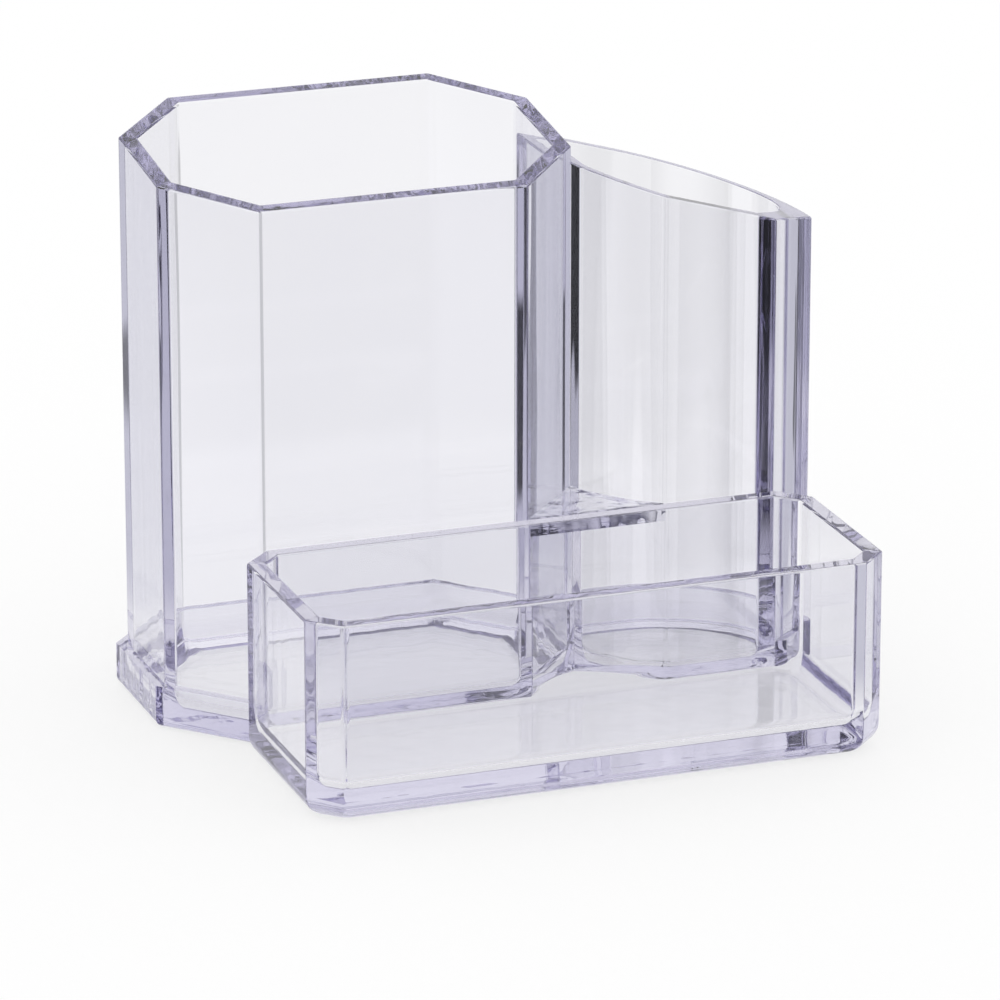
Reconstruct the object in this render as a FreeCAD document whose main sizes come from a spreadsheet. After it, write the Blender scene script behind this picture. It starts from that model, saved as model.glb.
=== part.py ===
import FreeCAD, Part
import math
import os
import Sketcher

# Makeup brush holder in clear plastic: a tall eight-sided cup, a curved cup,
# a low front tray, the collar round the foot of both cups and a web at tray rim height.
# Lengths are in millimetres. +X is to the right, +Y to the back and +Z up.

SIZES = {
    "tray_width": 109.2,
    "tray_depth": 43.3,
    "tray_height": 37.0,
    "tray_corner": 5.4,
    "tray_wall": 3.2,
    "tray_floor": 5.0,
    "tray_foot_round": 4.2,
    "tray_floor_round": 3.6,
    "tray_setback": 9.2,
    "tall_width": 78.6,
    "tall_depth": 53.8,
    "tall_corner_across": 14.0,
    "tall_corner_deep": 15.4,
    "tall_wall": 3.2,
    "tall_floor": 2.2,
    "tall_floor_round": 1.6,
    "tall_front_height": 100.0,
    "tall_back_height": 107.3,
    "curved_reach": 44.8,
    "curved_wall": 2.8,
    "curved_floor": 2.2,
    "curved_floor_round": 1.6,
    "curved_bow_radius": 36.0,
    "curved_left_height": 98.8,
    "curved_right_height": 85.8,
    "curved_round_share": 0.763,
    "curved_front_start_share": 0.28,
    "curved_front_end_share": 0.76,
    "collar_ledge": 2.0,
    "collar_height": 8.1,
    "collar_foot_round": 1.7,
    "web_thickness": 3.0,
    "bond_gap": 0.1,
    "overrun": 5.0,
}

# Places that several pieces share, written as expressions on the sheet.
TALL_LEFT = "Sizes.collar_ledge"
TALL_RIGHT = "(Sizes.collar_ledge + Sizes.tall_width)"
TALL_FRONT = "(Sizes.tray_depth + Sizes.bond_gap)"
TALL_BACK = "(Sizes.tray_depth + Sizes.bond_gap + Sizes.tall_depth)"
CURVED_LEFT = "(Sizes.collar_ledge + Sizes.tall_width + Sizes.bond_gap)"
CURVED_RIGHT = "(Sizes.collar_ledge + Sizes.tall_width + Sizes.bond_gap + Sizes.curved_reach)"
CURVED_START = "(" + CURVED_LEFT + " + Sizes.curved_reach * Sizes.curved_front_start_share)"
CURVED_END = "(" + CURVED_LEFT + " + Sizes.curved_reach * Sizes.curved_front_end_share)"
CURVED_BACK = "(" + TALL_BACK + " - Sizes.tall_corner_deep)"
CURVED_ROUND = "((Sizes.tall_depth - Sizes.tall_corner_deep) * Sizes.curved_round_share)"
TRAY_LEFT = "(Sizes.collar_ledge + Sizes.tray_setback)"
TRAY_RIGHT = "(Sizes.collar_ledge + Sizes.tray_setback + Sizes.tray_width)"
SHIFT_X = "-(" + CURVED_RIGHT + " + Sizes.collar_ledge) / 2"
SHIFT_Y = "-(" + TALL_BACK + " + Sizes.collar_ledge) / 2"
WEB_SEAT = "(Sizes.tray_height - Sizes.web_thickness)"

# A face counts as level when this share of its unit normal is upright.
UPRIGHT_SHARE = 0.99

doc = FreeCAD.newDocument("MakeupBrushHolder")
sheet = doc.addObject("Spreadsheet::Sheet", "Sizes")
for row, (size_name, size_value) in enumerate(SIZES.items(), start=1):
    sheet.set("A" + str(row), size_name)
    sheet.set("B" + str(row), str(size_value))
    sheet.setAlias("B" + str(row), size_name)
doc.recompute()


def value(expression):
    """Number that an expression on the sheet gives."""
    return float(sheet.evalExpression(expression))


def point(place):
    """Vector for a pair of expressions."""
    return FreeCAD.Vector(value(place[0]), value(place[1]), 0)


def fix_point(sketch, geometry, end, place):
    """Hold one end of a sketch line at a pair of expressions."""
    for kind, expression in zip(("DistanceX", "DistanceY"), place):
        rule = Sketcher.Constraint(kind, -1, 1, geometry, end, value(expression))
        index = sketch.addConstraint(rule)
        sketch.setExpression("Constraints[" + str(index) + "]", expression)


def bowed_arc(start, end, radius):
    """Arc from start to end that runs counter-clockwise about its centre."""
    middle = (start + end) * 0.5
    along = end - start
    half = along.Length / 2
    inward = FreeCAD.Vector(-along.y, along.x, 0).normalize()
    centre = middle + inward * math.sqrt(radius * radius - half * half)
    circle = Part.Circle(centre, FreeCAD.Vector(0, 0, 1), radius)
    first = math.atan2(start.y - centre.y, start.x - centre.x)
    last = math.atan2(end.y - centre.y, end.x - centre.x)
    return Part.ArcOfCircle(circle, first, last)


def draw_outline(sketch, places, arcs=None):
    """Closed outline through the places, counter-clockwise, some sides bowed."""
    arcs = arcs or {}
    count = len(places)
    for side in range(count):
        start = point(places[side])
        end = point(places[(side + 1) % count])
        if side in arcs:
            sketch.addGeometry(bowed_arc(start, end, value(arcs[side])), False)
        else:
            sketch.addGeometry(Part.LineSegment(start, end), False)
    for side in range(count):
        after = (side + 1) % count
        sketch.addConstraint(Sketcher.Constraint("Coincident", side, 2, after, 1))
    for side in range(count):
        fix_point(sketch, side, 1, places[side])
    for side, radius in arcs.items():
        index = sketch.addConstraint(Sketcher.Constraint("Radius", side, value(radius)))
        sketch.setExpression("Constraints[" + str(index) + "]", radius)
    return sketch


def layout_outline(name, places, arcs=None):
    """Outline on the layout plane that several pieces follow."""
    return draw_outline(doc.addObject("Sketcher::SketchObject", name), places, arcs)


def chamfered_places(left, right, front, back, across, deep):
    """Eight corners of a rectangle with cut corners, counter-clockwise."""
    return [
        (left + " + " + across, front),
        (right + " - " + across, front),
        (right, front + " + " + deep),
        (right, back + " - " + deep),
        (right + " - " + across, back),
        (left + " + " + across, back),
        (left, back + " - " + deep),
        (left, front + " + " + deep),
    ]


def rectangle_places(left, right, front, back):
    """Four corners of a rectangle, counter-clockwise."""
    return [(left, front), (right, front), (right, back), (left, back)]


def new_body(name, label, seat="0"):
    """Body at a seat height over the layout, whose label names its file."""
    body = doc.addObject("PartDesign::Body", name)
    body.Label = label
    body.setExpression("Placement.Base.x", SHIFT_X)
    body.setExpression("Placement.Base.y", SHIFT_Y)
    body.setExpression("Placement.Base.z", seat)
    return body


def follow(body, name, outline, offset=None):
    """Copy of a layout outline inside a body, grown or shrunk by an offset."""
    binder = body.newObject("PartDesign::SubShapeBinder", name)
    binder.Relative = False
    binder.Support = [(outline, ("",))]
    binder.OffsetJoinType = "Intersection"
    if offset:
        binder.setExpression("Offset", offset)
    doc.recompute()
    return binder


def pad(body, name, profile, length):
    """Solid raised from a profile."""
    feature = body.newObject("PartDesign::Pad", name)
    feature.Profile = profile
    feature.setExpression("Length", length)
    doc.recompute()
    return feature


def bore(body, name, profile):
    """Opening cut upwards through the whole body from a profile at its foot."""
    feature = body.newObject("PartDesign::Pocket", name)
    feature.Profile = profile
    feature.Type = "ThroughAll"
    feature.Reversed = True
    doc.recompute()
    return feature


def plane_sketch(body, name, role, places):
    """Sketch on one of the body's own origin planes."""
    sketch = body.newObject("Sketcher::SketchObject", name)
    plane = [item for item in body.Origin.OriginFeatures if item.Role == role][0]
    sketch.AttachmentSupport = [(plane, "")]
    sketch.MapMode = "FlatFace"
    return draw_outline(sketch, places)


def cup_top(one_height, other_height):
    """Height of a cup's blank, before its rim is cut."""
    return "max(" + one_height + "; " + other_height + ")"


def cup(body, name, outline, top):
    """Sleeve with a floor and rounded floor edges, sized by the piece's own cells."""
    pad(body, name + "Block", follow(body, name + "Follow", outline), top)
    cells = "Sizes." + name.lower()
    inside = follow(body, name + "Inside", outline, "-" + cells + "_wall")
    bore(body, name + "Well", inside)
    floor = pad(body, name + "Floor", inside, cells + "_floor")
    face = level_face(floor, value(cells + "_floor"), True)
    return round_edges(body, name + "FloorRound", floor, face, cells + "_floor_round")


def slant_rim(body, name, role, near, far, near_height, far_height):
    """Cut the rim to a sloping plane between two places."""
    rise = "(" + far_height + " - " + near_height + ") / (" + far + " - " + near + ")"
    before = near + " - Sizes.overrun"
    beyond = far + " + Sizes.overrun"
    peak = cup_top(near_height, far_height) + " + 2 * Sizes.overrun"
    places = [
        (before, near_height + " - Sizes.overrun * " + rise),
        (beyond, far_height + " + Sizes.overrun * " + rise),
        (beyond, peak),
        (before, peak),
    ]
    sketch = plane_sketch(body, name + "Line", role, places)
    feature = body.newObject("PartDesign::Pocket", name)
    feature.Profile = sketch
    feature.Type = "ThroughAll"
    feature.SideType = "Symmetric"
    doc.recompute()
    return feature


def level_face(feature, height, upward):
    """Name of the largest level face of a feature at a height."""
    found = []
    for number, face in enumerate(feature.Shape.Faces, start=1):
        lift = face.normalAt(0, 0).z
        right_way = lift > UPRIGHT_SHARE if upward else lift < -UPRIGHT_SHARE
        if right_way and abs(face.CenterOfMass.z - height) < value("Sizes.bond_gap"):
            found.append((face.Area, "Face" + str(number)))
    return max(found)[1]


def round_edges(body, name, feature, face, radius):
    """Round all edges of one face."""
    rounding = body.newObject("PartDesign::Fillet", name)
    rounding.Base = (feature, [face])
    rounding.setExpression("Radius", radius)
    doc.recompute()
    return rounding


# Outlines on the layout plane, front left corner of the whole holder at zero.
tall_outline = layout_outline("TallCupOutline", chamfered_places(
    TALL_LEFT, TALL_RIGHT, TALL_FRONT, TALL_BACK,
    "Sizes.tall_corner_across", "Sizes.tall_corner_deep"))
tray_outline = layout_outline("TrayOutline", chamfered_places(
    TRAY_LEFT, TRAY_RIGHT, "0", "Sizes.tray_depth",
    "Sizes.tray_corner", "Sizes.tray_corner"))
curved_outline = layout_outline("CurvedCupOutline", [
    (CURVED_LEFT, TALL_FRONT + " + Sizes.tall_corner_deep"),
    (CURVED_START, TALL_FRONT),
    (CURVED_END, TALL_FRONT),
    (CURVED_RIGHT, CURVED_BACK + " - " + CURVED_ROUND),
    (CURVED_RIGHT + " - " + CURVED_ROUND, CURVED_BACK),
    (CURVED_LEFT, CURVED_BACK),
], {0: "Sizes.curved_bow_radius", 3: CURVED_ROUND})
doc.recompute()

# Front tray: one moulding with a thick floor and rounded floor edges.
tray = new_body("FrontTray", "front_tray")
tray_cup = cup(tray, "Tray", tray_outline, "Sizes.tray_height")
round_edges(tray, "TrayFootRound", tray_cup,
            level_face(tray_cup, 0, False), "Sizes.tray_foot_round")

# Tall cup: eight sides, stands inside the collar, rim lower in front.
tall = new_body("TallOctagonalCup", "tall_octagonal_cup")
cup(tall, "Tall", tall_outline, cup_top("Sizes.tall_front_height", "Sizes.tall_back_height"))
slant_rim(tall, "TallRim", "YZ_Plane", TALL_FRONT, TALL_BACK,
          "Sizes.tall_front_height", "Sizes.tall_back_height")

# Curved cup: round back, stands inside the collar, rim lower on the right.
curved = new_body("CurvedCup", "curved_cup")
cup(curved, "Curved", curved_outline, cup_top("Sizes.curved_left_height", "Sizes.curved_right_height"))
slant_rim(curved, "CurvedRim", "XZ_Plane", CURVED_LEFT, CURVED_RIGHT,
          "Sizes.curved_left_height", "Sizes.curved_right_height")

# Base collar: one band round the foot of both cups, open where they meet the tray.
collar = new_body("BaseCollar", "base_collar")
for cup_name, outline in (("Tall", tall_outline), ("Curved", curved_outline)):
    band = follow(collar, cup_name + "BandLine", outline, "Sizes.collar_ledge")
    collar_block = pad(collar, cup_name + "Band", band, "Sizes.collar_height")
round_edges(collar, "CollarFootRound", collar_block,
            level_face(collar_block, 0, False), "Sizes.collar_foot_round")
front_line = plane_sketch(collar, "FrontLine", "XY_Plane", rectangle_places(
    "-Sizes.overrun", CURVED_RIGHT + " + Sizes.overrun",
    TALL_FRONT + " - 2 * Sizes.overrun", TALL_FRONT))
bore(collar, "CollarFront", front_line)
notch_line = plane_sketch(collar, "NotchLine", "XY_Plane", rectangle_places(
    TALL_RIGHT + " - Sizes.tall_corner_across", CURVED_START,
    TALL_FRONT, TALL_FRONT + " + Sizes.tall_corner_deep"))
bore(collar, "CollarNotch", notch_line)
for cup_name, outline in (("Tall", tall_outline), ("Curved", curved_outline)):
    bore(collar, cup_name + "Socket", follow(collar, cup_name + "SocketLine", outline, "Sizes.bond_gap"))

# Bridge web: a flat plate at tray rim height that closes the corner between the three cells.
bridge = new_body("BridgeWeb", "bridge_web", WEB_SEAT)
bridge_line = plane_sketch(bridge, "BridgeLine", "XY_Plane", rectangle_places(
    TALL_RIGHT + " - Sizes.tall_corner_across", CURVED_START,
    TALL_FRONT, TALL_FRONT + " + Sizes.tall_corner_deep"))
pad(bridge, "BridgePlate", bridge_line, "Sizes.web_thickness")
bore(bridge, "BridgeTallEdge", follow(bridge, "BridgeTallLine", tall_outline, "Sizes.bond_gap"))
bore(bridge, "BridgeCurvedEdge", follow(bridge, "BridgeCurvedLine", curved_outline, "Sizes.bond_gap"))
doc.recompute()

for item in doc.Objects:
    if "Invalid" in item.State or "Error" in item.State:
        raise RuntimeError(item.Name + " did not recompute")
os.makedirs("parts", exist_ok=True)
for body in (tray, tall, curved, collar, bridge):
    shape = body.Shape
    if shape.isNull() or not shape.isValid() or len(shape.Solids) != 1:
        raise RuntimeError(body.Label + " is not one valid solid")
    shape.exportStep(os.path.join("parts", body.Label + ".step"))
    box = shape.BoundBox
    print(body.Label, round(shape.Volume), [round(number, 2) for number in (
        box.XMin, box.XMax, box.YMin, box.YMax, box.ZMin, box.ZMax)])
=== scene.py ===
import logging
import math
from dataclasses import asdict, dataclass
from enum import Enum
from typing import Callable, ClassVar, Sequence

import bmesh
import bpy
from mathutils import Matrix, Vector


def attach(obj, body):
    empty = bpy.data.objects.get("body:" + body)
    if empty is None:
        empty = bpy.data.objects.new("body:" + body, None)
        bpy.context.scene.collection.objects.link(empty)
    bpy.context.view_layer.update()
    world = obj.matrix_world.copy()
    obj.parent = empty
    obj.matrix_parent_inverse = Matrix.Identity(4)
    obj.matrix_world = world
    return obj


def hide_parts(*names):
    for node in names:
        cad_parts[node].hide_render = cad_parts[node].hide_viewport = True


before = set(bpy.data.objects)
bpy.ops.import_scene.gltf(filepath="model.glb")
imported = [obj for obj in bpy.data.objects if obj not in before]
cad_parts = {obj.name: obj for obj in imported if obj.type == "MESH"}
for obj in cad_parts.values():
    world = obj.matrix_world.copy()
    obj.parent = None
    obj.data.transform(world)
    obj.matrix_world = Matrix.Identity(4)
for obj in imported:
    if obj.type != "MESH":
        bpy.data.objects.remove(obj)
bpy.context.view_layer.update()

LOG = logging.getLogger("brush_holder")
MM = 0.001
BODY = "root"
SAME_SPOT = 1e-7
SEAM = 1e-6
WHITE = (1.0, 1.0, 1.0)


class Join(Enum):
    """How an outline passes one of its points."""

    CORNER = "corner"
    TANGENT = "tangent"


@dataclass(frozen=True)
class PlanPoint:
    """One point of a plan outline, in millimetres.

    Args:
        x: Place to the right.
        y: Place to the back.
        join: Whether the outline turns a corner here or runs on smoothly.
    """

    x: float
    y: float
    join: Join = Join.CORNER


@dataclass(frozen=True)
class Outline:
    """Closed plan outline of a moulded cell, counter-clockwise from above.

    Args:
        points: The outline's points in order.
        corner_steps: Facets in the blend at each corner.
    """

    points: tuple[PlanPoint, ...]
    corner_steps: int = 5

    def turns(self) -> list[tuple[PlanPoint, Vector, Vector, Vector]]:
        """Find how the outline turns at each point.

        Returns:
            Each point with its place and the outward normals of the sides before and after it.
        """
        spots = [Vector((point.x, point.y)) for point in self.points]
        sides = [after - spot for spot, after in zip(spots, spots[1:] + spots[:1])]
        outward = [Vector((side.y, -side.x)).normalized() for side in sides]
        return [(point, spots[index], outward[index - 1], outward[index])
                for index, point in enumerate(self.points)]

    def moved(self, inset: float) -> list[PlanPoint]:
        """Move the outline's own points inwards.

        Args:
            inset: Distance inwards in millimetres.

        Returns:
            The moved points, which join as before.
        """
        found: list[PlanPoint] = []
        for point, spot, before, after in self.turns():
            place = spot - (before + after) / (1.0 + before.dot(after)) * inset
            found.append(PlanPoint(place.x, place.y, point.join))
        return found

    def ring(self, inset: float, blend: float) -> list[Vector]:
        """Move the outline inwards and blend its corners.

        Args:
            inset: Distance inwards in millimetres, negative for outwards.
            blend: Radius of the corner blends in millimetres.

        Returns:
            Points of the moved outline, as many for every inset.
        """
        ring: list[Vector] = []
        for point, spot, before, after in self.turns():
            reach = (before + after) / (1.0 + before.dot(after))
            if point.join is Join.TANGENT:
                ring.append(spot - reach * inset)
                continue
            centre = spot - reach * (inset + blend)
            first = math.atan2(before.y, before.x)
            turn = math.atan2(before.x * after.y - before.y * after.x, before.dot(after))
            for step in range(self.corner_steps + 1):
                angle = first + turn * step / self.corner_steps
                ring.append(centre + Vector((math.cos(angle), math.sin(angle))) * blend)
        return ring


def arc_points(start: Vector, end: Vector, radius: float, steps: int) -> list[PlanPoint]:
    """Find the points inside an outward bowed side.

    Args:
        start: Where the side starts.
        end: Where the side ends, counter-clockwise about the outline.
        radius: Radius of the bow in millimetres.
        steps: Number of facets.

    Returns:
        The points between start and end, which run on smoothly.
    """
    along = end - start
    inward = Vector((-along.y, along.x)).normalized()
    centre = (start + end) / 2 + inward * math.sqrt(radius * radius - along.length_squared / 4)
    first = math.atan2(start.y - centre.y, start.x - centre.x)
    sweep = 2 * math.asin(along.length / (2 * radius))
    found: list[PlanPoint] = []
    for step in range(1, steps):
        angle = first + sweep * step / steps
        found.append(PlanPoint(centre.x + radius * math.cos(angle), centre.y + radius * math.sin(angle),
                               Join.TANGENT))
    return found


@dataclass(frozen=True)
class ProfilePoint:
    """One ring of a cell's wall, in millimetres.

    Args:
        inset: Distance inwards from the outline.
        height: Height over the foot, or under the rim where below_rim is set.
        blend: Radius of the corner blends at this ring.
        below_rim: Whether height counts down from the rim.
        inside: Whether the ring belongs to the cavity.
    """

    inset: float
    height: float
    blend: float
    below_rim: bool = False
    inside: bool = False


@dataclass(frozen=True)
class WallProfile:
    """Cross-section of a cell's wall and floor, in millimetres.

    Args:
        wall: Wall thickness.
        floor: Floor thickness.
        floor_round: Radius between the wall and the floor inside.
        foot_round: Radius of the foot's outer edge.
        outer_blend: Radius of the upright corners outside.
        inner_blend: Radius of the upright corners inside.
        rim_round: Radius of the rim's two edges.
        steps: Facets in each round of the foot and the floor.
        rim_steps: Facets in each round of the rim.
    """

    wall: float
    floor: float
    floor_round: float
    foot_round: float
    outer_blend: float = 0.5
    inner_blend: float = 0.9
    rim_round: float = 0.4
    steps: int = 9
    rim_steps: int = 3

    def rings(self) -> list[ProfilePoint]:
        """Follow the wall up the outside, over the rim and down to the floor.

        Returns:
            The rings from the foot to the floor.
        """
        turns = [math.pi / 2 * step / self.steps for step in range(self.steps + 1)]
        rim_turns = [math.pi / 2 * step / self.rim_steps for step in range(self.rim_steps + 1)]
        made: list[ProfilePoint] = []
        for turn in turns:
            inset = self.foot_round * (1 - math.sin(turn))
            made.append(ProfilePoint(inset, self.foot_round * (1 - math.cos(turn)), self.outer_blend + inset))
        for turn in rim_turns:
            made.append(ProfilePoint(self.rim_round * (1 - math.cos(turn)), self.rim_round * (1 - math.sin(turn)),
                                     self.outer_blend, below_rim=True))
        for turn in rim_turns:
            made.append(ProfilePoint(self.wall - self.rim_round * (1 - math.sin(turn)),
                                     self.rim_round * (1 - math.cos(turn)),
                                     self.inner_blend, below_rim=True, inside=True))
        for turn in turns:
            made.append(ProfilePoint(self.wall + self.floor_round * (1 - math.cos(turn)),
                                     self.floor + self.floor_round * (1 - math.sin(turn)),
                                     self.inner_blend, inside=True))
        return made


def baked(piece: bpy.types.Object) -> bpy.types.Object:
    """Turn an object's modifiers into plain mesh.

    Args:
        piece: The object, with its modifiers.

    Returns:
        The same object, with no modifiers left.
    """
    bpy.context.view_layer.update()
    graph = bpy.context.evaluated_depsgraph_get()
    made = bpy.data.meshes.new_from_object(piece.evaluated_get(graph), preserve_all_data_layers=True, depsgraph=graph)
    old = piece.data
    piece.modifiers.clear()
    piece.data = made
    bpy.data.meshes.remove(old)
    made.name = piece.name
    return piece


def dressed_object(name: str, mesh: bpy.types.Mesh, material: bpy.types.Material) -> bpy.types.Object:
    """Make an object with outward faces and normals that keep the flat walls flat.

    Args:
        name: The piece's name.
        mesh: Its closed mesh, in metres and in place.
        material: Its finish.

    Returns:
        The object, linked to the scene.
    """
    shell = bmesh.new()
    shell.from_mesh(mesh)
    bmesh.ops.remove_doubles(shell, verts=shell.verts, dist=SAME_SPOT)
    bmesh.ops.recalc_face_normals(shell, faces=shell.faces)
    for face in shell.faces:
        face.smooth = True
    shell.to_mesh(mesh)
    shell.free()
    mesh.materials.clear()
    mesh.materials.append(material)
    piece = bpy.data.objects.new(name, mesh)
    bpy.context.scene.collection.objects.link(piece)
    weighted = piece.modifiers.new("flat_walls", "WEIGHTED_NORMAL")
    weighted.weight = 100
    return baked(piece)


def lofted(name: str, rings: Sequence[Sequence[Vector]]) -> bpy.types.Mesh:
    """Make a closed mesh through rings of equal length, capped at both ends.

    Args:
        name: Name of the mesh.
        rings: The rings in order, in metres.

    Returns:
        The mesh.
    """
    count = len(rings[0])
    places = [spot for ring in rings for spot in ring]
    faces: list[list[int]] = [list(range(count))]
    for level in range(len(rings) - 1):
        low, high = level * count, (level + 1) * count
        for index in range(count):
            after = (index + 1) % count
            faces.append([low + index, low + after, high + after, high + index])
    faces.append([(len(rings) - 1) * count + index for index in range(count)])
    mesh = bpy.data.meshes.new(name)
    mesh.from_pydata(places, [], faces)
    return mesh


def cell_mesh(name: str, outline: Outline, profile: WallProfile, rim: Callable[[float, float], float],
              cavity: Outline | None = None) -> bpy.types.Mesh:
    """Make the mesh of an open cell with a floor.

    Args:
        name: Name of the mesh.
        outline: The cell's outer plan outline.
        profile: Its wall and floor.
        rim: Height of the rim at a place, in millimetres.
        cavity: Outline of the cavity where it doesn't follow the outside.

    Returns:
        The closed mesh, in metres.
    """
    rings: list[list[Vector]] = []
    for point in profile.rings():
        if cavity and point.inside:
            plan = cavity.ring(point.inset - profile.wall, point.blend)
        else:
            plan = outline.ring(point.inset, point.blend)
        ring: list[Vector] = []
        for spot in plan:
            height = rim(spot.x, spot.y) - point.height if point.below_rim else point.height
            ring.append(Vector((spot.x, spot.y, height)) * MM)
        rings.append(ring)
    return lofted(name, rings)


def put_in_frame(piece: bpy.types.Object, node: str) -> None:
    """Let a piece stand for its CAD node.

    Args:
        piece: The finished piece.
        node: The node's name.
    """
    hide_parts(node)
    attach(piece, BODY)
    LOG.info("%s: %d faces", piece.name, len(piece.data.polygons))


class TreeKind(Enum):
    """What a node group is for."""

    GEOMETRY = "GeometryNodeTree"
    SHADER = "ShaderNodeTree"


class Ramp(Enum):
    """How a step runs between its ends."""

    STRAIGHT = "LINEAR"
    SMOOTH = "SMOOTHSTEP"


class NodeSheet:
    """Short hand for building a node tree.

    Args:
        tree: The tree to build in.
    """

    def __init__(self, tree: bpy.types.NodeTree) -> None:
        """Keep the tree."""
        self.tree = tree

    def link(self, source: object, target: bpy.types.NodeSocket) -> None:
        """Link a socket to an input, or set a plain value there.

        Args:
            source: The socket or the value.
            target: The input.
        """
        if isinstance(source, bpy.types.NodeSocket):
            self.tree.links.new(source, target)
        else:
            target.default_value = source

    def node(self, kind: str, inputs: dict[object, object] | None = None, **settings: object) -> bpy.types.Node:
        """Add a node.

        Args:
            kind: The node's type name.
            inputs: Sockets or values by input name or index.
            settings: Properties of the node.

        Returns:
            The node.
        """
        made = self.tree.nodes.new(kind)
        for key, setting in settings.items():
            setattr(made, key, setting)
        for key, source in (inputs or {}).items():
            self.link(source, made.inputs[key])
        return made

    def sum(self, operation: str, *terms: object) -> bpy.types.NodeSocket:
        """Add a math node.

        Args:
            operation: Blender's name of the operation.
            terms: Its sockets or numbers.

        Returns:
            The node's output.
        """
        return self.node("ShaderNodeMath", dict(enumerate(terms)), operation=operation).outputs[0]

    def vector(self, *parts: object) -> bpy.types.NodeSocket:
        """Put up to three sockets or numbers together as a vector."""
        return self.node("ShaderNodeCombineXYZ", dict(enumerate(parts))).outputs[0]

    def split(self, vector: bpy.types.NodeSocket) -> tuple[bpy.types.NodeSocket, ...]:
        """Take a vector apart into its three numbers."""
        return tuple(self.node("ShaderNodeSeparateXYZ", {0: vector}).outputs)

    def step(self, value: bpy.types.NodeSocket, low: object, high: object,
             ramp: Ramp = Ramp.SMOOTH) -> bpy.types.NodeSocket:
        """Add a step from 0 at low to 1 at high.

        Args:
            value: What is stepped.
            low: Where the step starts.
            high: Where it ends.
            ramp: How it runs in between.

        Returns:
            The step's output.
        """
        made = self.node("ShaderNodeMapRange", {"Value": value, "From Min": low, "From Max": high},
                         interpolation_type=ramp.value)
        return made.outputs["Result"]

    def mix(self, first: object, second: object, share: object) -> bpy.types.NodeSocket:
        """Mix two colours.

        Args:
            first: The colour at share 0, as a socket or as red, green and blue.
            second: The colour at share 1.
            share: The share of the second.

        Returns:
            The mixed colour.
        """
        first, second = (colour if isinstance(colour, bpy.types.NodeSocket) else (*colour, 1.0)
                         for colour in (first, second))
        made = self.node("ShaderNodeMix", {"Factor": share, "A": first, "B": second}, data_type="RGBA")
        return made.outputs["Result"]

    def noise(self, place: bpy.types.NodeSocket, size: object, detail: float) -> bpy.types.NodeSocket:
        """Add a noise over a place.

        Args:
            place: Where it is read.
            size: Its closeness.
            detail: Its octaves.

        Returns:
            The noise's value.
        """
        return self.node("ShaderNodeTexNoise", {"Vector": place, "Scale": size, "Detail": detail}).outputs["Fac"]


class GroupSheet(NodeSheet):
    """Sheet of a node group with named inputs and outputs.

    Args:
        name: The group's name.
        kind: What the group is for.
    """

    def __init__(self, name: str, kind: TreeKind) -> None:
        """Make the group.

        Args:
            name: The group's name.
            kind: What the group is for.
        """
        super().__init__(bpy.data.node_groups.new(name, kind.value))
        self.source = self.tree.nodes.new("NodeGroupInput")
        self.sink = self.tree.nodes.new("NodeGroupOutput")

    def size(self, name: str, default: float) -> bpy.types.NodeSocket:
        """Add a named number input and return its output socket inside the tree."""
        self.tree.interface.new_socket(name, in_out="INPUT", socket_type="NodeSocketFloat").default_value = default
        return self.source.outputs[name]

    def result(self, source: bpy.types.NodeSocket, name: str = "Geometry", kind: str = "NodeSocketGeometry") -> None:
        """Add a named output and link a socket to it."""
        self.tree.interface.new_socket(name, in_out="OUTPUT", socket_type=kind)
        self.link(source, self.sink.inputs[name])


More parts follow.
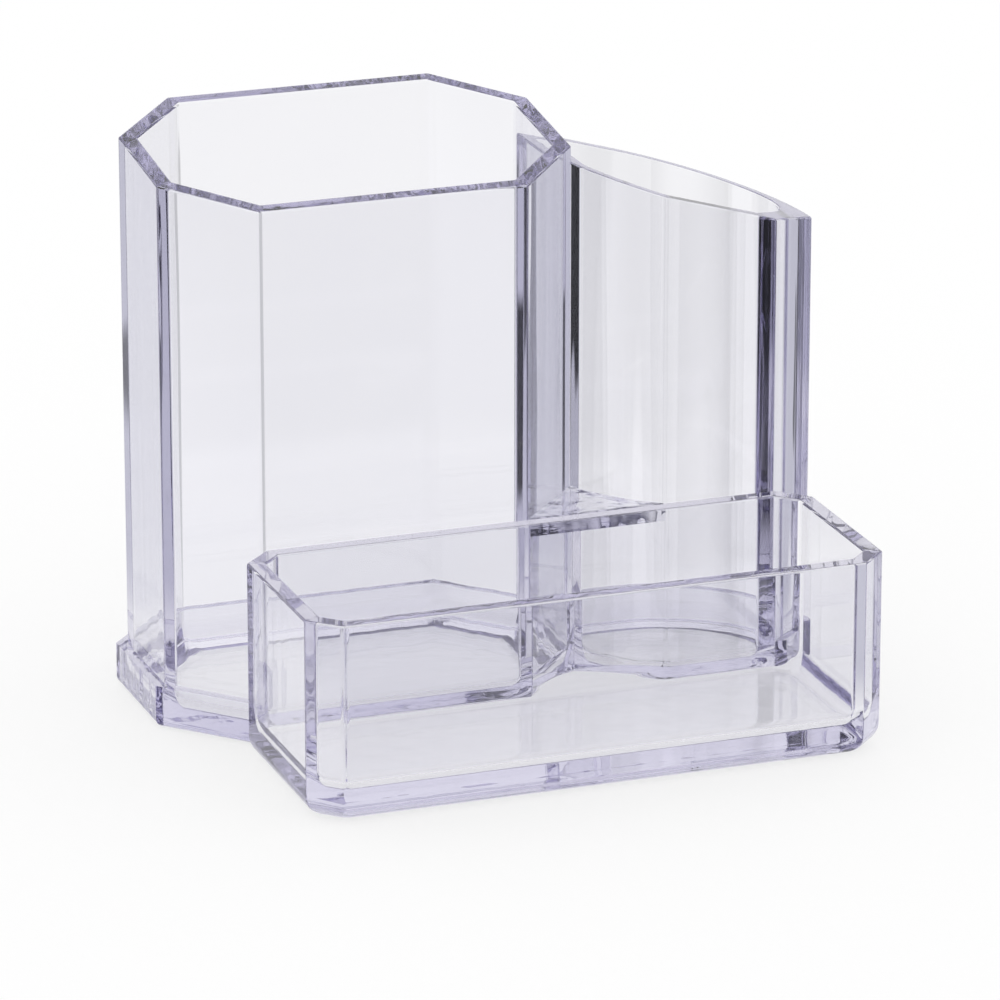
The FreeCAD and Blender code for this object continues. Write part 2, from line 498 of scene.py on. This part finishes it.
@dataclass(frozen=True)
class MouldedSkinWithPaintedShade:
    """Skin of a clear moulding, with draw lines and handling haze, and painted shade: dark streaks in its tint.

    Args:
        draw_size: Closeness of the upright draw lines.
        draw_depth: Strength of the draw lines.
        haze: Highest roughness that handling leaves.
        flow: Strength of the painted shade, dark streaks in the tint where the walls show dark refraction bands.
        flow_size: Closeness of the painted shade streaks.
        flow_stretch: How far the painted shade streaks are drawn out along the height, less for longer ones.
        flow_width: How widely a painted shade streak shades off to one side.
        flow_front: Painted shade streaks stay in front of this place, in metres.
    """

    GROUP: ClassVar[str] = "moulded_skin_with_painted_shade"
    DRAW_STRETCH: ClassVar[float] = 0.06
    DRAW_RELIEF: ClassVar[float] = 0.0004
    CLOUD_SIZE: ClassVar[float] = 45.0
    # Painted shade: where the dark streaks crest and end on their noise, and the dark tint they paint.
    FLOW_CREST: ClassVar[float] = 0.555
    FLOW_END: ClassVar[float] = 0.563
    CLEAR: ClassVar[tuple[float, float, float]] = (0.985, 0.985, 0.993)
    CLOUDED: ClassVar[tuple[float, float, float]] = (0.965, 0.965, 0.985)
    FLOW_TINT: ClassVar[tuple[float, float, float]] = (0.03, 0.03, 0.06)
    draw_size: float = 220.0
    draw_depth: float = 0.1
    haze: float = 0.012
    flow: float = 0.0
    flow_size: float = 70.0
    flow_stretch: float = 0.02
    flow_width: float = 0.07
    flow_front: float = 1.0

    def inputs(self) -> dict[str, float]:
        """The skin's values by the names of the group's inputs."""
        return {name.replace("_", " ").title(): value for name, value in asdict(self).items()}

    @classmethod
    def group(cls) -> bpy.types.NodeTree:
        """Build the shader node group of all skins, once.

        Returns:
            The group, which puts out a tint that holds the painted shade streaks, a roughness and a normal.
        """
        tree = bpy.data.node_groups.get(cls.GROUP)
        if tree is not None:
            return tree
        sheet = GroupSheet(cls.GROUP, TreeKind.SHADER)
        given = {name: sheet.size(name, value) for name, value in cls().inputs().items()}
        place = sheet.node("ShaderNodeTexCoord").outputs["Object"]
        drawn = sheet.node("ShaderNodeMapping", {"Vector": place, "Scale": (1.0, 1.0, cls.DRAW_STRETCH)}).outputs[0]
        bump = sheet.node("ShaderNodeBump", {"Strength": given["Draw Depth"], "Distance": cls.DRAW_RELIEF,
                                             "Height": sheet.noise(drawn, given["Draw Size"], 1.0)})
        cloud = sheet.noise(place, cls.CLOUD_SIZE, 3.0)
        # Painted shade: a stretched noise cut into thin dark streaks, each shading off to one side, darkens the tint.
        along = sheet.node("ShaderNodeVectorMath", {0: place, 1: sheet.vector(1.0, 1.0, given["Flow Stretch"])},
                           operation="MULTIPLY").outputs[0]
        flow = sheet.noise(along, given["Flow Size"], 1.0)
        start = sheet.sum("SUBTRACT", cls.FLOW_CREST, given["Flow Width"])
        line = sheet.sum("MULTIPLY", sheet.step(flow, start, cls.FLOW_CREST, Ramp.STRAIGHT),
                         sheet.step(flow, cls.FLOW_END, cls.FLOW_CREST, Ramp.STRAIGHT))
        before = sheet.sum("LESS_THAN", sheet.split(place)[1], given["Flow Front"])
        depth = sheet.sum("MULTIPLY", sheet.sum("MULTIPLY", line, before), given["Flow"])
        # The tint: random clouding, darkened by the painted shade streaks.
        tint = sheet.mix(sheet.mix(cls.CLEAR, cls.CLOUDED, cloud), cls.FLOW_TINT, depth)
        sheet.result(tint, "Tint", "NodeSocketColor")
        sheet.result(sheet.sum("MULTIPLY", cloud, given["Haze"]), "Roughness", "NodeSocketFloat")
        sheet.result(bump.outputs["Normal"], "Normal", "NodeSocketVector")
        return sheet.tree


@dataclass(frozen=True)
class ClearPlastic:
    """Finish of one clear moulding.

    Args:
        name: The material's name.
        skin: Its skin.
        body_colour: What the plastic lets through in its depth.
        body_density: How soon it does so, per metre.
    """

    IOR: ClassVar[float] = 1.5
    name: str
    skin: MouldedSkinWithPaintedShade = MouldedSkinWithPaintedShade()
    body_colour: tuple[float, float, float] = (0.19, 0.13, 0.51)
    body_density: float = 7.0

    def material(self) -> bpy.types.Material:
        """Build the finish, once for each name.

        Returns:
            The material.
        """
        made = bpy.data.materials.get(self.name)
        if made is not None:
            return made
        made = bpy.data.materials.new(self.name)
        made.use_nodes = True
        sheet, nodes = NodeSheet(made.node_tree), made.node_tree.nodes
        shader = nodes["Principled BSDF"]
        for name, value in (("Metallic", 0.0), ("Transmission Weight", 1.0), ("IOR", self.IOR)):
            shader.inputs[name].default_value = value
        skin = sheet.node("ShaderNodeGroup", self.skin.inputs(), node_tree=MouldedSkinWithPaintedShade.group())
        for source, target in (("Tint", "Base Color"), ("Roughness", "Roughness"), ("Normal", "Normal")):
            sheet.link(skin.outputs[source], shader.inputs[target])
        depth = sheet.node("ShaderNodeVolumeAbsorption",
                           {"Color": (*self.body_colour, 1.0), "Density": self.body_density})
        sheet.link(depth.outputs["Volume"], nodes["Material Output"].inputs["Volume"])
        return made


CUP_PLASTIC = ClearPlastic("clear_cup_plastic")
# The curved cup and the bridge web get painted shade: dark streaks in their tint.
CURVED_PLASTIC = ClearPlastic("clear_curved_plastic", MouldedSkinWithPaintedShade(flow=0.13, flow_size=60.0, flow_width=0.2))
TRAY_PLASTIC = ClearPlastic("clear_tray_plastic", MouldedSkinWithPaintedShade(draw_size=180.0))
COLLAR_PLASTIC = ClearPlastic("clear_collar_plastic", MouldedSkinWithPaintedShade(draw_size=260.0, draw_depth=0.4), body_density=35.0)
WEB_PLASTIC = ClearPlastic(
    "clear_web_plastic", MouldedSkinWithPaintedShade(draw_size=320.0, draw_depth=0.5, flow=1.0, flow_size=350.0, flow_stretch=0.4,
                                     flow_width=0.3, flow_front=-0.0057), body_density=25.0)


@dataclass
class TallCup:
    """Tall eight-sided cup whose rim is lower in front, made by geometry nodes.

    Args:
        left: Left side of the cup, in millimetres.
        front: Front side.
        width: Width over all.
        depth: Depth over all.
        corner_across: Width of each cut corner.
        corner_deep: Depth of each cut corner.
        front_height: Height of the rim in front.
        back_height: Height of the rim at the back.
        profile: Wall and floor.
        corner_steps: Facets in the blend at each upright corner.
        finish: The plastic.
    """

    left: float = -61.75
    front: float = -6.2
    width: float = 78.6
    depth: float = 53.8
    corner_across: float = 14.0
    corner_deep: float = 15.4
    front_height: float = 100.0
    back_height: float = 107.3
    profile: WallProfile = WallProfile(wall=3.2, floor=2.2, floor_round=5.0, foot_round=0.6)
    corner_steps: int = 5
    finish: ClearPlastic = CUP_PLASTIC

    def ring_group(self) -> bpy.types.NodeTree:
        """Build the node group for one ring of the eight-sided outline.

        Returns:
            The group.
        """
        sheet = GroupSheet("eight_sided_ring", TreeKind.GEOMETRY)
        width, depth = sheet.size("Width", self.width * MM), sheet.size("Depth", self.depth * MM)
        across, deep = (sheet.size(name, value * MM) for name, value in (
            ("Corner Across", self.corner_across), ("Corner Deep", self.corner_deep)))
        inset, blend = sheet.size("Inset", 0.0), sheet.size("Blend", self.profile.outer_blend * MM)
        height, rise = sheet.size("Height", 0.0), sheet.size("Rise", 0.0)
        ratio = sheet.sum("DIVIDE", deep, across)
        per_across, per_deep = sheet.sum("DIVIDE", 1.0, across), sheet.sum("DIVIDE", 1.0, deep)
        slant = sheet.sum("SQRT", sheet.sum("ADD", sheet.sum("MULTIPLY", per_across, per_across),
                                            sheet.sum("MULTIPLY", per_deep, per_deep)))
        shrink = sheet.sum("SUBTRACT", sheet.sum("SUBTRACT", slant, per_across), per_deep)
        cut = sheet.sum("MULTIPLY", across, sheet.sum("MULTIPLY_ADD", inset, shrink, 1.0))
        frame_width = sheet.sum("MULTIPLY_ADD", inset, -2.0, width)
        frame_depth = sheet.sum("DIVIDE", sheet.sum("MULTIPLY_ADD", inset, -2.0, depth), ratio)
        box = sheet.node("GeometryNodeCurvePrimitiveQuadrilateral", {"Width": frame_width, "Height": frame_depth})
        eight = sheet.node("GeometryNodeFilletCurve", {"Curve": box.outputs[0], "Count": 1, "Radius": cut},
                           mode="POLY")
        grown = sheet.node("GeometryNodeTransform",
                           {"Geometry": eight.outputs[0], "Scale": sheet.vector(1.0, ratio, 1.0)})
        soft = sheet.node("GeometryNodeFilletCurve",
                          {"Curve": grown.outputs[0], "Count": self.corner_steps, "Radius": blend}, mode="POLY")
        _, back, _ = sheet.split(sheet.node("GeometryNodeInputPosition").outputs[0])
        level = sheet.sum("ADD", height, sheet.sum("MULTIPLY", rise, sheet.sum("MULTIPLY_ADD", depth, 0.5, back)))
        placed = sheet.node("GeometryNodeSetPosition",
                            {"Geometry": soft.outputs[0], "Offset": sheet.vector(0.0, 0.0, level)})
        sheet.result(sheet.node("GeometryNodeCurveToMesh", {"Curve": placed.outputs[0]}).outputs[0])
        return sheet.tree

    def wall(self, sheet: GroupSheet, rings: list[bpy.types.NodeSocket]) -> bpy.types.NodeSocket:
        """Loft a wall through rings.

        Args:
            sheet: The tree that gets the nodes.
            rings: The rings in order.

        Returns:
            The wall as a grid that is rolled up.
        """
        joined = sheet.node("GeometryNodeJoinGeometry")
        for ring in reversed(rings):
            sheet.link(ring, joined.inputs[0])
        count = sheet.node("GeometryNodeAttributeDomainSize", {0: rings[0]}).outputs["Point Count"]
        around = sheet.sum("ADD", count, 1.0)
        grid = sheet.node("GeometryNodeMeshGrid", {"Vertices X": len(rings), "Vertices Y": around})
        index = sheet.node("GeometryNodeInputIndex").outputs[0]
        level = sheet.sum("FLOOR", sheet.sum("DIVIDE", sheet.sum("ADD", index, 0.5), around))
        step = sheet.sum("MODULO", sheet.sum("SUBTRACT", index, sheet.sum("MULTIPLY", level, around)), count)
        pick = sheet.sum("ADD", sheet.sum("MULTIPLY", level, count), step)
        sampled = sheet.node("GeometryNodeSampleIndex", data_type="FLOAT_VECTOR", domain="POINT")
        sheet.link(joined.outputs[0], sampled.inputs["Geometry"])
        sheet.link(sheet.node("GeometryNodeInputPosition").outputs[0], sampled.inputs["Value"])
        sheet.link(pick, sampled.inputs["Index"])
        return sheet.node("GeometryNodeSetPosition",
                          {"Geometry": grid.outputs["Mesh"], "Position": sampled.outputs[0]}).outputs[0]

    def cap(self, sheet: GroupSheet, ring: bpy.types.NodeSocket, level: float) -> bpy.types.NodeSocket:
        """Close a level ring.

        Args:
            sheet: The tree that gets the nodes.
            ring: The ring.
            level: Its height in metres.

        Returns:
            The flat face.
        """
        line = sheet.node("GeometryNodeMeshToCurve", {0: ring})
        flat = sheet.node("GeometryNodeFillCurve", {"Curve": line.outputs[0]}, mode="NGONS")
        return sheet.node("GeometryNodeTransform",
                          {"Geometry": flat.outputs[0], "Translation": sheet.vector(0.0, 0.0, level)}).outputs[0]

    def tree(self) -> bpy.types.NodeTree:
        """Build the node tree that lofts the cup through its rings.

        Returns:
            The tree.
        """
        ring_group = self.ring_group()
        sheet = GroupSheet("eight_sided_cup", TreeKind.GEOMETRY)
        sizes = {name: sheet.size(name, value * MM) for name, value in (
            ("Width", self.width), ("Depth", self.depth),
            ("Corner Across", self.corner_across), ("Corner Deep", self.corner_deep))}
        front, back = (sheet.size(name, value * MM) for name, value in (
            ("Front Height", self.front_height), ("Back Height", self.back_height)))
        middle = sheet.vector(sheet.size("Middle X", 0.0), sheet.size("Middle Y", 0.0))
        rise = sheet.sum("DIVIDE", sheet.sum("SUBTRACT", back, front), sizes["Depth"])
        rings: list[bpy.types.NodeSocket] = []
        for point in self.profile.rings():
            values = dict(sizes, Inset=point.inset * MM, Blend=point.blend * MM, Height=point.height * MM, Rise=0.0)
            if point.below_rim:
                values.update(Height=sheet.sum("SUBTRACT", front, point.height * MM), Rise=rise)
            rings.append(sheet.node("GeometryNodeGroup", values, node_tree=ring_group).outputs[0])
        whole = sheet.node("GeometryNodeJoinGeometry")
        for part in (self.wall(sheet, rings), self.cap(sheet, rings[0], 0.0),
                     self.cap(sheet, rings[-1], self.profile.floor * MM)):
            sheet.link(part, whole.inputs[0])
        moved = sheet.node("GeometryNodeTransform", {"Geometry": whole.outputs[0], "Translation": middle})
        closed = sheet.node("GeometryNodeMergeByDistance", {"Geometry": moved.outputs[0], "Distance": SEAM})
        real = sheet.node("GeometryNodeRealizeInstances", {0: closed.outputs[0]})
        coated = sheet.node("GeometryNodeSetMaterial",
                            {"Geometry": real.outputs[0], "Material": self.finish.material()})
        sheet.result(coated.outputs[0])
        return sheet.tree

    def build(self) -> bpy.types.Object:
        """Make the cup and put it in the frame.

        Returns:
            The cup.
        """
        carrier = bpy.data.objects.new("tall_cup", bpy.data.meshes.new("tall_cup"))
        bpy.context.scene.collection.objects.link(carrier)
        rule = carrier.modifiers.new("eight_sides", "NODES")
        rule.node_group = self.tree()
        middle = {"Middle X": self.left + self.width / 2, "Middle Y": self.front + self.depth / 2}
        for socket in rule.node_group.interface.items_tree:
            if socket.name in middle:
                rule[socket.identifier] = middle[socket.name] * MM
        mesh = baked(carrier).data.copy()
        bpy.data.objects.remove(carrier)
        piece = dressed_object("tall_cup", mesh, self.finish.material())
        put_in_frame(piece, "tall_octagonal_cup")
        return piece


@dataclass
class CurvedCup:
    """Lower cup with a round back, a bowed side and a facet, rim lower on the right.

    Args:
        left: Left side, in millimetres.
        front: Front side.
        back: Back side.
        reach: Width over all.
        side_front: Where the left side meets the bowed side.
        front_start: Where the front starts.
        front_end: Where the front ends and the facet starts.
        bow: Radius of the bowed side.
        bow_steps: Facets of the bowed side.
        round: Radius of the round back.
        round_steps: Facets of the round back.
        left_height: Height of the rim on the left.
        right_height: Height of the rim on the right.
        facet_wall: Thickness behind the facet.
        end_turn: Where on the round back the cavity's round right end starts, in degrees.
        profile: Wall and floor.
        finish: The plastic.
    """

    left: float = 16.95
    front: float = -6.2
    back: float = 32.2
    reach: float = 44.8
    side_front: float = 9.2
    front_start: float = 29.494
    front_end: float = 50.998
    bow: float = 36.0
    bow_steps: int = 14
    round: float = 29.299
    round_steps: int = 30
    left_height: float = 98.8
    right_height: float = 85.8
    facet_wall: float = 4.0
    end_turn: float = 30.0
    profile: WallProfile = WallProfile(wall=2.8, floor=2.2, floor_round=4.5, foot_round=0.6)
    finish: ClearPlastic = CURVED_PLASTIC

    def outline(self) -> Outline:
        """Draw the cup's outer outline.

        Returns:
            The outline, from the left side's front end.
        """
        right = self.left + self.reach
        side, start = Vector((self.left, self.side_front)), Vector((self.front_start, self.front))
        end, turn = Vector((self.front_end, self.front)), Vector((right, self.back - self.round))
        over = Vector((right - self.round, self.back))
        points = [PlanPoint(*side), *arc_points(side, start, self.bow, self.bow_steps),
                  PlanPoint(*start), PlanPoint(*end), PlanPoint(*turn),
                  *arc_points(turn, over, self.round, self.round_steps),
                  PlanPoint(over.x, over.y, Join.TANGENT), PlanPoint(self.left, self.back)]
        return Outline(tuple(points))

    def cavity(self) -> Outline:
        """Draw the cavity, which ends in a round on the right.

        Returns:
            Its outline, which gives rings of as many points as the outer one.
        """
        wall, plan = self.profile.wall, self.outline()
        corner = [index for index, point in enumerate(plan.points) if point.join is Join.CORNER][2]
        moved = plan.moved(wall)
        facet_start, facet_end = (Vector((point.x, point.y)) for point in plan.points[corner:corner + 2])
        along = (facet_end - facet_start).normalized()
        outward = Vector((along.y, -along.x))
        inner_corner = facet_start + Vector(((wall * -outward.y - self.facet_wall) / outward.x, wall))
        middle = Vector((self.left + self.reach - self.round, self.back - self.round))
        start = math.radians(self.end_turn)
        toward = Vector((math.cos(start), math.sin(start)))
        inner = self.round - wall
        lean = outward.dot(toward)
        end_round = (-self.facet_wall - outward.dot(middle - facet_end) - inner * lean) / (1.0 - lean)
        end_middle = middle + toward * (inner - end_round)
        first = math.atan2(outward.y, outward.x)
        count = len(plan.points) - corner - 2 + plan.corner_steps
        end_count = count // 2
        spots: list[Vector] = []
        for step in range(end_count):
            angle = first + (start - first) * step / end_count
            spots.append(end_middle + Vector((math.cos(angle), math.sin(angle))) * end_round)
        for step in range(count - end_count):
            angle = start + (math.pi / 2 - start) * step / (count - end_count - 1)
            spots.append(middle + Vector((math.cos(angle), math.sin(angle))) * inner)
        points = [*moved[:corner], PlanPoint(*inner_corner),
                  *(PlanPoint(spot.x, spot.y, Join.TANGENT) for spot in spots), moved[-1]]
        return Outline(tuple(points))

    def rim(self, x: float, y: float) -> float:
        """Height of the rim at a place, in millimetres."""
        return self.left_height + (self.right_height - self.left_height) * (x - self.left) / self.reach

    def build(self) -> bpy.types.Object:
        """Make the cup and put it in the frame.

        Returns:
            The cup.
        """
        mesh = cell_mesh("curved_cup_shell", self.outline(), self.profile, self.rim, self.cavity())
        piece = dressed_object("curved_cup_shell", mesh, self.finish.material())
        put_in_frame(piece, "curved_cup")
        return piece


@dataclass
class FrontTray:
    """Low tray with cut corners, a thick floor and a well rounded foot.

    Args:
        left: Left side, in millimetres.
        front: Front side.
        width: Width over all.
        depth: Depth over all.
        corner: Width and depth of each cut corner.
        height: Height of the rim.
        profile: Wall and floor.
        finish: The plastic.
    """

    left: float = -52.55
    front: float = -49.6
    width: float = 109.2
    depth: float = 43.3
    corner: float = 5.4
    height: float = 37.0
    profile: WallProfile = WallProfile(wall=3.2, floor=5.0, floor_round=3.6, foot_round=4.2, outer_blend=0.6)
    finish: ClearPlastic = TRAY_PLASTIC

    def outline(self) -> Outline:
        """Draw the tray's outer outline.

        Returns:
            The outline, from the front left.
        """
        left, front, cut = self.left, self.front, self.corner
        right, back = left + self.width, front + self.depth
        return Outline(tuple(PlanPoint(x, y) for x, y in (
            (left + cut, front), (right - cut, front), (right, front + cut), (right, back - cut),
            (right - cut, back), (left + cut, back), (left, back - cut), (left, front + cut))))

    def rim(self, x: float, y: float) -> float:
        """Height of the level rim, in millimetres."""
        return self.height

    def build(self) -> bpy.types.Object:
        """Make the tray and put it in the frame.

        Returns:
            The tray.
        """
        mesh = cell_mesh("tray_shell", self.outline(), self.profile, self.rim)
        piece = dressed_object("tray_shell", mesh, self.finish.material())
        put_in_frame(piece, "front_tray")
        return piece


@dataclass
class CadPiece:
    """CAD node whose shape is right and which only gets its finish.

    Args:
        node: The node's name.
        finish: The plastic.
    """

    node: str
    finish: ClearPlastic

    def build(self) -> bpy.types.Object:
        """Dress the node.

        Returns:
            The node's object.
        """
        piece = bpy.data.objects[self.node]
        piece.data.materials.clear()
        piece.data.materials.append(self.finish.material())
        LOG.info("%s: dressed as it is", self.node)
        return piece


@dataclass(frozen=True)
class Patch:
    """Soft-edged patch of the sweep, in metres.

    Args:
        left: Its left side.
        right: Its right side.
        near: Its near side.
        far: Its far side.
        soft: Width of its soft edge.
    """

    left: float
    right: float
    near: float
    far: float
    soft: float = 0.02

    def mask(self, sheet: NodeSheet, across: bpy.types.NodeSocket, back: bpy.types.NodeSocket) -> bpy.types.NodeSocket:
        """Add the patch to a material.

        Args:
            sheet: The material's tree.
            across: Place to the right.
            back: Place to the back.

        Returns:
            1 in the patch and 0 outside.
        """
        wide = sheet.sum("MULTIPLY", sheet.step(across, self.left, self.left + self.soft),
                         sheet.step(across, self.right, self.right - self.soft))
        deep = sheet.sum("MULTIPLY", sheet.step(back, self.near, self.near + self.soft),
                         sheet.step(back, self.far, self.far - self.soft))
        return sheet.sum("MULTIPLY", wide, deep)


class Ways:
    """Masks for the ways that light takes through the plastic.

    A way is long past LONG inner reflections. One through CAVITY faces looks into a cavity.

    Args:
        sheet: The tree that gets the nodes.
    """

    LONG: ClassVar[float] = 9.5
    CAVITY: ClassVar[float] = 4.0

    def __init__(self, sheet: NodeSheet) -> None:
        """Count reflections and faces.

        Args:
            sheet: The tree that gets the nodes.
        """
        paths = sheet.node("ShaderNodeLightPath")
        self.sheet = sheet
        self.reflections, self.faces = paths.outputs["Glossy Depth"], paths.outputs["Transmission Depth"]

    def past(self, count: float) -> bpy.types.NodeSocket:
        """1 for ways with more inner reflections than a count, else 0."""
        return self.sheet.sum("GREATER_THAN", self.reflections, count)

    def straight(self) -> bpy.types.NodeSocket:
        """1 for ways through the plastic without a reflection, else 0."""
        through = self.sheet.sum("GREATER_THAN", self.faces, 0.5)
        return self.sheet.sum("MULTIPLY", through, self.sheet.sum("SUBTRACT", 1.0, self.past(0.5)))

    def wall(self) -> bpy.types.NodeSocket:
        """1 for long ways that don't look into a cavity, else 0."""
        inside = self.sheet.sum("COMPARE", self.faces, self.CAVITY, 0.5)
        return self.sheet.sum("MULTIPLY", self.past(self.LONG), self.sheet.sum("SUBTRACT", 1.0, inside))


@dataclass
class Studio:
    """White sweep under soft light, dim where only inner reflections look.

    Args:
        half_size: Half the width of the sweep, in metres.
        drop: How far the sweep lies under the holder's foot.
        paper: Share of plain paper in the sweep, which takes the shadow. The rest glows.
        near: Left side, right side and half depth of the bright paper round the holder.
        near_soft: Width of that paper's soft edge.
        front: What the room in front gives back.
        back: What the room at the back and the sides gives back.
        front_turn: Where the back turns into the front.
        dark: What its dark patches give back.
        right_start: Where the dark patch on the right starts in front.
        right_slant: How that patch slants to the back.
        right_soft: Width of its soft edge.
        back_patch: Dark patch at the back.
        front_patch: Dark patch in front, which only long ways in the walls reach.
        rear_patch: Dark patch behind the holder for the same ways.
        edge_patch: Dim patch that only single reflections reach.
        edge_share: How dim it is.
        left_patch: Dim patch that only light straight through the plastic reaches.
        left_share: How dim it is.
        above: What the room over the sweep gives back on the left to long ways in the walls.
        above_turn: Sideways direction in which that starts and is full.
        bounces: How often light may turn inside the plastic.
    """

    half_size: float = 10.0
    drop: float = 0.0002
    paper: float = 0.3
    near: tuple[float, float, float] = (-0.1, 0.068, 0.054)
    near_soft: float = 0.03
    front: tuple[float, float, float] = (0.2, 0.2, 0.25)
    back: tuple[float, float, float] = (0.62, 0.62, 0.7)
    front_turn: tuple[float, float] = (-0.02, -0.08)
    dark: tuple[float, float, float] = (0.02, 0.02, 0.02)
    right_start: float = 0.086
    right_slant: float = 0.9
    right_soft: float = 0.015
    back_patch: Patch = Patch(-0.13, 0.03, 0.11, 0.26)
    front_patch: Patch = Patch(-0.19, 0.3, -0.3, 0.015)
    rear_patch: Patch = Patch(-0.4, 0.3, 0.05, 0.5)
    edge_patch: Patch = Patch(0.02, 0.14, 0.12, 0.25)
    edge_share: float = 0.92
    left_patch: Patch = Patch(-0.3, -0.045, 0.03, 0.4)
    left_share: float = 0.35
    above: tuple[float, float, float] = (0.05, 0.05, 0.06)
    above_turn: tuple[float, float] = (-0.2, -0.38)
    bounces: int = 64

    def floor_material(self) -> bpy.types.Material:
        """Build the white paper, with the dim room for inner reflections.

        Returns:
            The material, which keeps a soft shadow.
        """
        made = bpy.data.materials.new("white_sweep")
        made.use_nodes = True
        made.node_tree.nodes.clear()
        sheet = NodeSheet(made.node_tree)
        across, back, _ = sheet.split(sheet.node("ShaderNodeTexCoord").outputs["Object"])
        ways = Ways(sheet)
        once, twice, often, long = (ways.past(count) for count in (0.5, 1.5, 2.5, Ways.LONG))
        single, short = sheet.sum("SUBTRACT", once, twice), sheet.sum("SUBTRACT", once, long)
        left_end, right_end, half_depth = self.near
        past_x = sheet.sum("MAXIMUM", sheet.sum("SUBTRACT", left_end, across), sheet.sum("SUBTRACT", across, right_end))
        past_y = sheet.sum("SUBTRACT", sheet.sum("ABSOLUTE", back), half_depth)
        room = sheet.step(sheet.sum("MAXIMUM", past_x, past_y), 0.0, self.near_soft)
        around = sheet.mix(self.back, self.front, sheet.step(back, *self.front_turn))
        dim = sheet.mix(WHITE, around, sheet.sum("MULTIPLY", short, room))

        slant = sheet.sum("MULTIPLY", sheet.sum("MAXIMUM", back, 0.0), self.right_slant)
        right = sheet.step(sheet.sum("SUBTRACT", across, slant), self.right_start, self.right_start + self.right_soft)
        behind, before, after, beside, aside = (patch.mask(sheet, across, back) for patch in (
            self.back_patch, self.front_patch, self.rear_patch, self.edge_patch, self.left_patch))
        shares = (sheet.sum("MULTIPLY", twice, right), sheet.sum("MULTIPLY", often, behind),
                  sheet.sum("MULTIPLY", ways.wall(), sheet.sum("MAXIMUM", before, after)),
                  sheet.sum("MULTIPLY", sheet.sum("MULTIPLY", single, beside), self.edge_share),
                  sheet.sum("MULTIPLY", sheet.sum("MULTIPLY", ways.straight(), aside), self.left_share))
        most = shares[0]
        for share in shares[1:]:
            most = sheet.sum("MAXIMUM", most, share)
        colour = sheet.mix(dim, self.dark, most)

        glow = sheet.node("ShaderNodeEmission", {"Color": colour})
        paper = sheet.node("ShaderNodeBsdfDiffuse", {"Color": colour})
        mixed = sheet.node("ShaderNodeMixShader", {0: self.paper, 1: glow.outputs[0], 2: paper.outputs[0]})
        sheet.node("ShaderNodeOutputMaterial", {"Surface": mixed.outputs[0]})
        return made

    def world(self) -> bpy.types.World:
        """Build the soft light from all sides.

        Returns:
            The world.
        """
        made = bpy.data.worlds.new("soft_studio")
        made.use_nodes = True
        sheet = NodeSheet(made.node_tree)
        sideways, _, _ = sheet.split(sheet.node("ShaderNodeTexCoord").outputs["Generated"])
        share = sheet.sum("MULTIPLY", sheet.step(sideways, *self.above_turn), Ways(sheet).wall())
        sheet.link(sheet.mix(WHITE, self.above, share), made.node_tree.nodes["Background"].inputs["Color"])
        return made

    def build(self) -> None:
        """Lay the sweep, light the room and let light run on inside the plastic."""
        scene = bpy.context.scene
        scene.view_settings.view_transform = "Standard"
        scene.cycles.max_bounces = self.bounces
        scene.cycles.transmission_bounces = self.bounces
        scene.cycles.glossy_bounces = self.bounces
        half = self.half_size
        mesh = bpy.data.meshes.new("sweep")
        mesh.from_pydata([(x, y, -self.drop) for x, y in ((-half, -half), (half, -half), (half, half), (-half, half))],
                         [], [(0, 1, 2, 3)])
        mesh.materials.append(self.floor_material())
        sweep = bpy.data.objects.new("sweep", mesh)
        scene.collection.objects.link(sweep)
        scene.world = self.world()
        LOG.info("studio: sweep and soft light")


@dataclass
class PhotoCamera:
    """Camera at the photograph's angle.

    Args:
        place: Where it stands, in metres.
        azimuth: Its turn about the upright, in degrees.
        elevation: Its height angle, in degrees.
        focal_pixels: Focal length in pixels of the image.
        image_pixels: Width of the image in pixels.
        sensor: Width of the sensor in millimetres.
        clip: The nearest and farthest place that it sees, in metres.
    """

    place: tuple[float, float, float] = (-0.3965, -1.0866, 0.4299)
    azimuth: float = -20.038
    elevation: float = 18.6705
    focal_pixels: float = 6699.0
    image_pixels: float = 1000.0
    sensor: float = 36.0
    clip: tuple[float, float] = (0.05, 60.0)

    def build(self) -> bpy.types.Object:
        """Make the camera and give it to the scene.

        Returns:
            The camera.
        """
        turn, lift = math.radians(self.azimuth), math.radians(self.elevation)
        right = Vector((math.cos(turn), math.sin(turn), 0.0))
        back = Vector((math.sin(turn) * math.cos(lift), -math.cos(turn) * math.cos(lift), math.sin(lift)))
        up = back.cross(right)
        data = bpy.data.cameras.new("photo_camera")
        data.sensor_width = self.sensor
        data.lens = self.focal_pixels * self.sensor / self.image_pixels
        data.clip_start, data.clip_end = self.clip
        camera = bpy.data.objects.new("photo_camera", data)
        axes = Matrix((right, up, back)).transposed().to_4x4()
        camera.matrix_world = Matrix.Translation(self.place) @ axes
        bpy.context.scene.collection.objects.link(camera)
        bpy.context.scene.camera = camera
        return camera


def main() -> None:
    """Build the holder, the studio and the camera."""
    logging.basicConfig(level=logging.INFO, format="%(name)s %(message)s")
    for piece in (TallCup(), CurvedCup(), FrontTray(),
                  CadPiece("base_collar", COLLAR_PLASTIC), CadPiece("bridge_web", WEB_PLASTIC)):
        piece.build()
    Studio().build()
    PhotoCamera().build()


if __name__ == "__main__":
    main()
